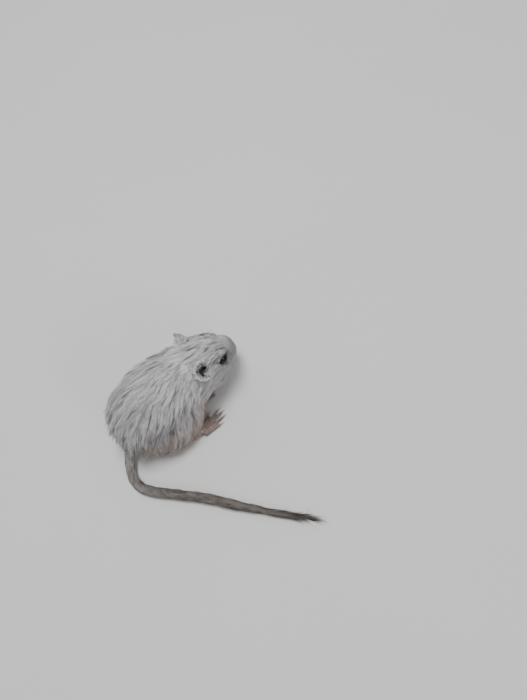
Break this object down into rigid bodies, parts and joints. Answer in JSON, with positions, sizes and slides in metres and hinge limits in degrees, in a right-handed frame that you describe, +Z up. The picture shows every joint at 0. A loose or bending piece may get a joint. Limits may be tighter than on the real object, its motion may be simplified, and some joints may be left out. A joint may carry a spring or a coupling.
{
  "type": "gerbil",
  "caption": "Young pale grey gerbil as a still, life-size model, crouched on flat hind feet with the tail laid round its side.",
  "frame": {"origin": "middle of the model's footprint on the floor", "axes": "+X the way the animal faces, +Y its left side, +Z up; the laid-out tail makes Y the longest extent"},
  "size_m": [0.0746, 0.104, 0.0341],
  "materials": {
    "coat": "short soft silver-grey fur with fine darker streaks",
    "bare_skin": "thinly furred mauve-pink skin of the ears, nose and feet",
    "eye": "wet, glossy, near-black eyeball",
    "tail_coat": "short close grey tail fur, darker towards the tuft",
    "claw": "thin translucent horn"
  },
  "bodies": {
    "root": {"head": "coat", "neck": "coat", "trunk": "coat", "rump": "coat", "thigh_left": "coat", "thigh_right": "coat", "foreleg_left": "coat", "foreleg_right": "coat", "ear_left": "bare_skin", "ear_right": "bare_skin", "forepaw_left": "bare_skin", "forepaw_right": "bare_skin", "hind_foot_left": "bare_skin", "hind_foot_right": "bare_skin", "eye_left": "eye", "eye_right": "eye", "tail_base": "tail_coat", "tail_second": "tail_coat", "tail_third": "tail_coat", "tail_fourth": "tail_coat", "tail_tuft": "tail_coat"}
  },
  "joints": []
}
